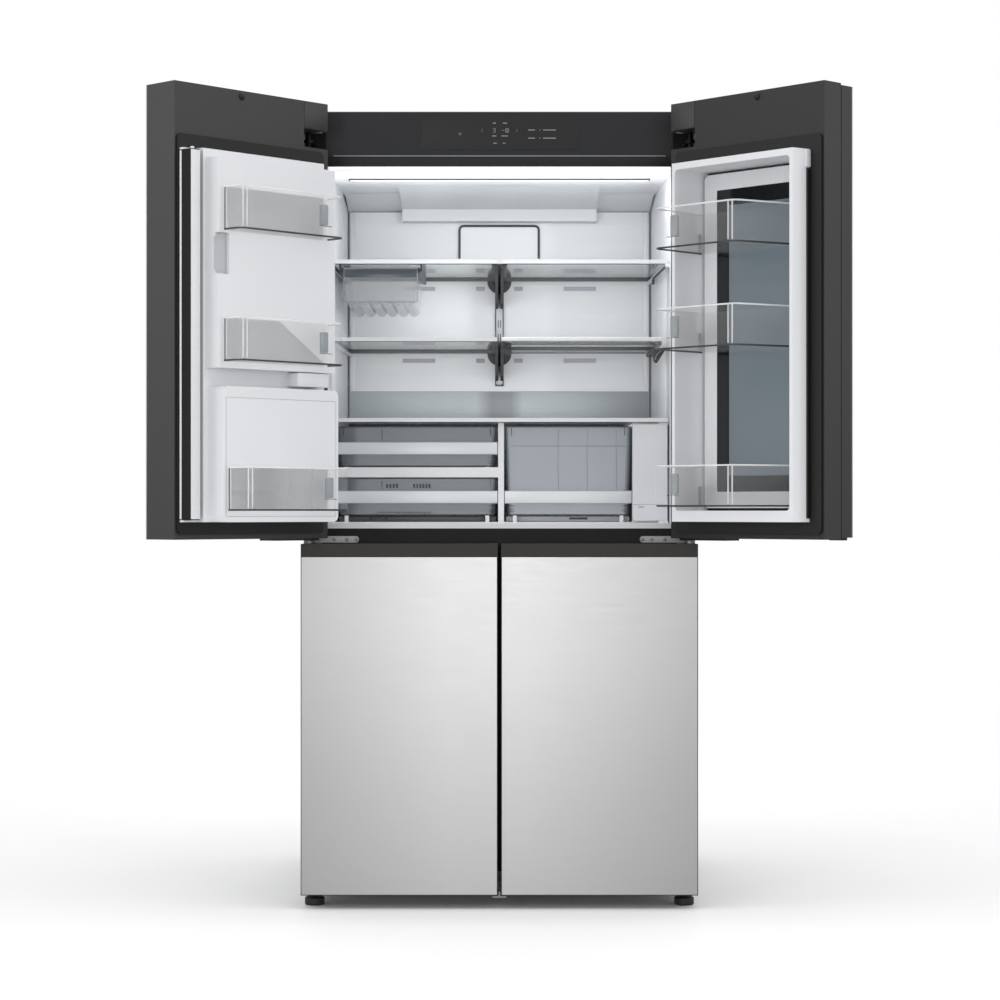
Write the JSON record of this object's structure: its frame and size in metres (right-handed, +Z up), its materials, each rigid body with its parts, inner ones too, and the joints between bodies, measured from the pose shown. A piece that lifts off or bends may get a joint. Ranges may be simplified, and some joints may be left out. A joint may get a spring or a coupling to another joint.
{
  "type": "refrigerator with water dispenser",
  "caption": "Four-door refrigerator with its upper doors open: glass shelves and crispers inside, an ice room, a dispenser and a windowed door-in-door, closed freezer doors below.",
  "frame": {"origin": "floor level, under the middle of the box that the refrigerator fills with its upper doors open", "axes": "+Z up, +X to the right seen from the front, +Y from the front to the back"},
  "size_m": [1.556, 1.268, 1.8516],
  "materials": {
    "case_paint": "fine satin grey paint",
    "rear_steel": "plain galvanised grey",
    "insulation_foam": "closed-cell foam",
    "liner_white": "smooth white",
    "fascia_dark": "smooth dark grey",
    "frame_charcoal": "fine matt charcoal",
    "rail_dark": "matt near-black",
    "back_steel": "upright brushed",
    "clear_glass": "clear tempered",
    "trim_white": "smooth white",
    "bracket_dark": "dark grey paint",
    "crisper_smoke": "smoky clear",
    "drawer_clear": "clear with a grey tint",
    "filter_white": "smooth white",
    "door_steel": "fine level brushed",
    "gasket_rubber": "soft matt",
    "basket_clear": "clear",
    "window_tint": "mirror-tinted",
    "dispenser_black": "smooth black",
    "hinge_steel": "satin plated",
    "foot_black": "matt black",
    "coil_aluminium": "mill finish",
    "compressor_black": "black paint",
    "fan_plastic": "matt black",
    "lamp_white": "frosted",
    "lever_grey": "matt grey"
  },
  "bodies": {
    "cabinet": {"outer_case": "case_paint", "rear_panels": "rear_steel", "base_chassis": "rear_steel", "insulation": "insulation_foam", "fridge_liner": "liner_white", "freezer_liners": "liner_white", "control_panel": "fascia_dark", "mid_rail": "rail_dark", "ceiling_lamp": "lamp_white", "ceiling_duct": "liner_white", "back_panels": "back_steel", "shelf_glass": "clear_glass", "shelf_trims": "trim_white", "shelf_brackets": "bracket_dark", "crisper_frame": "trim_white", "water_filter": "filter_white", "freezer_drawers": "drawer_clear", "compressor": "compressor_black", "condenser": "coil_aluminium", "evaporator": "coil_aluminium", "hinge_brackets": "hinge_steel", "front_feet": "foot_black"},
    "left_door": {"left_door_panel": "door_steel", "left_door_frame": "frame_charcoal", "left_door_liner": "liner_white", "left_door_gasket": "gasket_rubber", "left_door_basket": "basket_clear", "dispenser_housing": "dispenser_black", "ice_maker": "lever_grey"},
    "mullion": {"mullion_bar": "rail_dark"},
    "ice_cover": {"ice_cover": "liner_white", "ice_cover_baskets": "basket_clear"},
    "dispenser_lever": {"dispenser_lever": "lever_grey"},
    "drip_tray": {"drip_tray": "lever_grey"},
    "right_door": {"right_door_frame": "frame_charcoal", "right_door_liner": "liner_white", "right_door_gasket": "gasket_rubber", "right_door_baskets": "basket_clear"},
    "outer_door": {"outer_door_panel": "door_steel", "outer_door_frame": "frame_charcoal", "outer_door_liner": "liner_white", "window_glass": "window_tint"},
    "release_button": {"release_button": "foot_black"},
    "lower_left_door": {"lower_left_panel": "door_steel", "lower_left_body": "frame_charcoal", "lower_left_liner": "liner_white", "lower_left_gasket": "gasket_rubber"},
    "lower_right_door": {"lower_right_panel": "door_steel", "lower_right_body": "frame_charcoal", "lower_right_liner": "liner_white", "lower_right_gasket": "gasket_rubber"},
    "upper_crisper": {"upper_crisper": "crisper_smoke"},
    "lower_crisper": {"lower_crisper": "crisper_smoke"},
    "right_crisper": {"right_crisper": "crisper_smoke"},
    "utility_drawer": {"utility_drawer": "drawer_clear"},
    "sliding_shelf": {"sliding_shelf": "clear_glass"},
    "filter_cover": {"filter_cover": "filter_white"},
    "condenser_fan": {"condenser_fan": "fan_plastic"},
    "evaporator_fan": {"evaporator_fan": "fan_plastic"},
    "rear_rollers": {"rear_rollers": "foot_black"}
  },
  "joints": [
    {"name": "left_door_hinge", "type": "hinge", "parent": "cabinet", "child": "left_door", "pos_m": [-0.441, -0.231, 1.3516], "axis": [0, 0, -1], "range_deg": [-133.2, 0]},
    {"name": "mullion_fold", "type": "hinge", "parent": "left_door", "child": "mullion", "pos_m": [-0.68984, -0.58137, 1.2975], "axis": [0, 0, 1], "range_deg": [-90, 0]},
    {"name": "ice_cover_hinge", "type": "hinge", "parent": "left_door", "child": "ice_cover", "pos_m": [-0.40178, -0.33094, 1.4555], "axis": [0, 0, 1], "range_deg": [0, 90]},
    {"name": "dispenser_lever_hinge", "type": "hinge", "parent": "left_door", "child": "dispenser_lever", "pos_m": [-0.56289, -0.40463, 1.159], "axis": [-0.6845, -0.729, 0], "range_deg": [0, 12], "stiffness_Nm_per_rad": 0.5},
    {"name": "drip_tray_slide", "type": "slide", "parent": "left_door", "child": "drip_tray", "axis": [-0.729, 0.6845, 0], "range_m": [0, 0.09]},
    {"name": "right_door_hinge", "type": "hinge", "parent": "cabinet", "child": "right_door", "pos_m": [0.441, -0.231, 1.3516], "axis": [0, 0, 1], "range_deg": [-133.2, 0]},
    {"name": "outer_door_hinge", "type": "hinge", "parent": "right_door", "child": "outer_door", "pos_m": [0.46554, -0.19287, 1.3516], "axis": [0, 0, 1], "range_deg": [0, 100]},
    {"name": "release_button_slide", "type": "slide", "parent": "outer_door", "child": "release_button", "axis": [0, 0, 1], "range_m": [0, 0.004], "stiffness_N_per_m": 400},
    {"name": "lower_left_door_hinge", "type": "hinge", "parent": "cabinet", "child": "lower_left_door", "pos_m": [-0.441, -0.231, 0.4353], "axis": [0, 0, -1], "range_deg": [0, 133.2]},
    {"name": "lower_right_door_hinge", "type": "hinge", "parent": "cabinet", "child": "lower_right_door", "pos_m": [0.441, -0.231, 0.4353], "axis": [0, 0, 1], "range_deg": [0, 133.2]},
    {"name": "upper_crisper_slide", "type": "slide", "parent": "cabinet", "child": "upper_crisper", "axis": [0, -1, 0], "range_m": [0, 0.3]},
    {"name": "lower_crisper_slide", "type": "slide", "parent": "cabinet", "child": "lower_crisper", "axis": [0, -1, 0], "range_m": [0, 0.3]},
    {"name": "right_crisper_slide", "type": "slide", "parent": "cabinet", "child": "right_crisper", "axis": [0, -1, 0], "range_m": [0, 0.3]},
    {"name": "utility_drawer_slide", "type": "slide", "parent": "cabinet", "child": "utility_drawer", "axis": [0, -1, 0], "range_m": [0, 0.2]},
    {"name": "sliding_shelf_slide", "type": "slide", "parent": "cabinet", "child": "sliding_shelf", "axis": [0, 1, 0], "range_m": [0, 0.2]},
    {"name": "filter_cover_hinge", "type": "hinge", "parent": "cabinet", "child": "filter_cover", "pos_m": [0.40086, -0.025, 1.0113], "axis": [0, 0, 1], "range_deg": [0, 90]},
    {"name": "condenser_fan_spin", "type": "hinge", "parent": "cabinet", "child": "condenser_fan", "pos_m": [0.314, 0.54, 0.134], "axis": [0, 1, 0], "continuous": true},
    {"name": "evaporator_fan_spin", "type": "hinge", "parent": "cabinet", "child": "evaporator_fan", "pos_m": [-0.21989, 0.31999, 0.574], "axis": [0, 1, 0], "continuous": true},
    {"name": "rear_rollers_roll", "type": "hinge", "parent": "cabinet", "child": "rear_rollers", "pos_m": [0, 0.574, 0.018], "axis": [1, 0, 0], "continuous": true}
  ]
}
